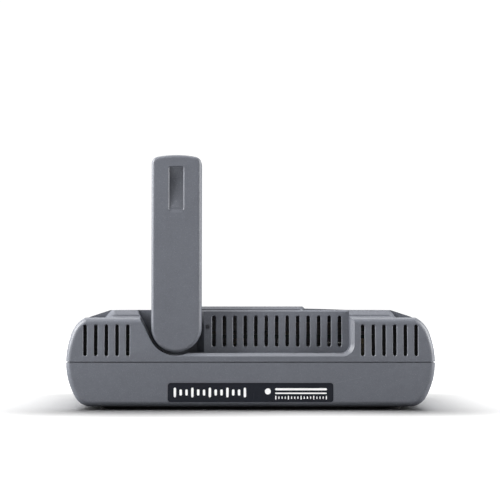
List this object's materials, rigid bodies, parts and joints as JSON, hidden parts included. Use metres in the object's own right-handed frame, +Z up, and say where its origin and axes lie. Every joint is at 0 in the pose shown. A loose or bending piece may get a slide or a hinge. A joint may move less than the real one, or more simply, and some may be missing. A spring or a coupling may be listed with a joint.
{
  "type": "portable aviation receiver",
  "caption": "Low slate-grey receiver box with vent slots, a raised top panel with a round key, rear sockets and a flat aerial blade that swings up from a front recess.",
  "frame": {"origin": "middle of the footprint, on the surface that the base pad stands on", "axes": "+Z up, +Y from the front with the aerial blade to the back with the sockets, +X to the right seen from the front"},
  "size_m": [0.122, 0.073, 0.0845],
  "materials": {
    "shell": "slate grey, finely textured with a metallic fleck",
    "blade": "slate grey, finely textured with a metallic fleck",
    "panel": "slightly darker slate grey, satin",
    "key": "charcoal, satin, with an engraved power mark",
    "pad_rubber": "black, matt",
    "label": "black, glossy",
    "steel": "plated",
    "light_pipe": "translucent, frosted",
    "led": "clear",
    "screen": "black woven mesh",
    "black_plastic": "black",
    "white_plastic": "natural",
    "bronze": "turned",
    "brass": "turned",
    "gold": "gold plated",
    "copper": "etched foil",
    "silvering": "fired silver paste",
    "tinplate": "tinned",
    "cable_jacket": "smooth jacket",
    "circuit_board": "green solder mask",
    "patch_ceramic": "unglazed ceramic",
    "battery_wrap": "foil pouch",
    "foam": "closed cell foam"
  },
  "bodies": {
    "housing": {"upper_housing": "shell", "lower_housing": "shell", "base_pad": "pad_rubber", "front_label": "label", "housing_screws": "steel", "status_panel": "panel", "status_light_pipes": "light_pipe", "status_leds": "led", "vent_screens": "screen", "switch_base": "black_plastic", "hinge_bush": "bronze", "hinge_thrust_washer": "white_plastic", "hinge_spring_washer": "steel", "hinge_coax": "cable_jacket", "coax_plug": "gold", "main_board": "circuit_board", "antenna_board": "circuit_board", "board_standoffs": "brass", "board_screws": "steel", "position_patch": "patch_ceramic", "satellite_patch": "patch_ceramic", "patch_electrodes": "silvering", "shield_cans": "tinplate", "board_chips": "black_plastic", "battery_pack": "battery_wrap", "battery_foam": "foam", "battery_plug": "white_plastic", "battery_lead": "cable_jacket", "position_jack": "gold", "satellite_jack": "gold", "traffic_jack": "gold", "jack_insulators": "white_plastic", "jack_contacts": "gold", "audio_jack": "black_plastic", "usb_shell": "steel", "usb_tongue": "black_plastic"},
    "aerial_blade": {"blade_front_cover": "blade", "blade_rear_cover": "blade", "blade_screws": "steel", "blade_board": "circuit_board", "blade_radiator": "copper", "blade_coax": "cable_jacket", "hinge_shaft": "steel", "hinge_retaining_clip": "steel"},
    "power_key": {"power_button": "key", "switch_stem": "white_plastic"}
  },
  "joints": [
    {"name": "blade_swing", "type": "hinge", "parent": "housing", "child": "aerial_blade", "pos_m": [-0.02457, -0.0262, 0.02737], "axis": [0, 1, 0], "range_deg": [-25, 90]},
    {"name": "power_key_press", "type": "slide", "parent": "housing", "child": "power_key", "axis": [0, 0, -1], "range_m": [0, 0.0006], "stiffness_N_per_m": 800, "springref_m": -0.0015}
  ]
}
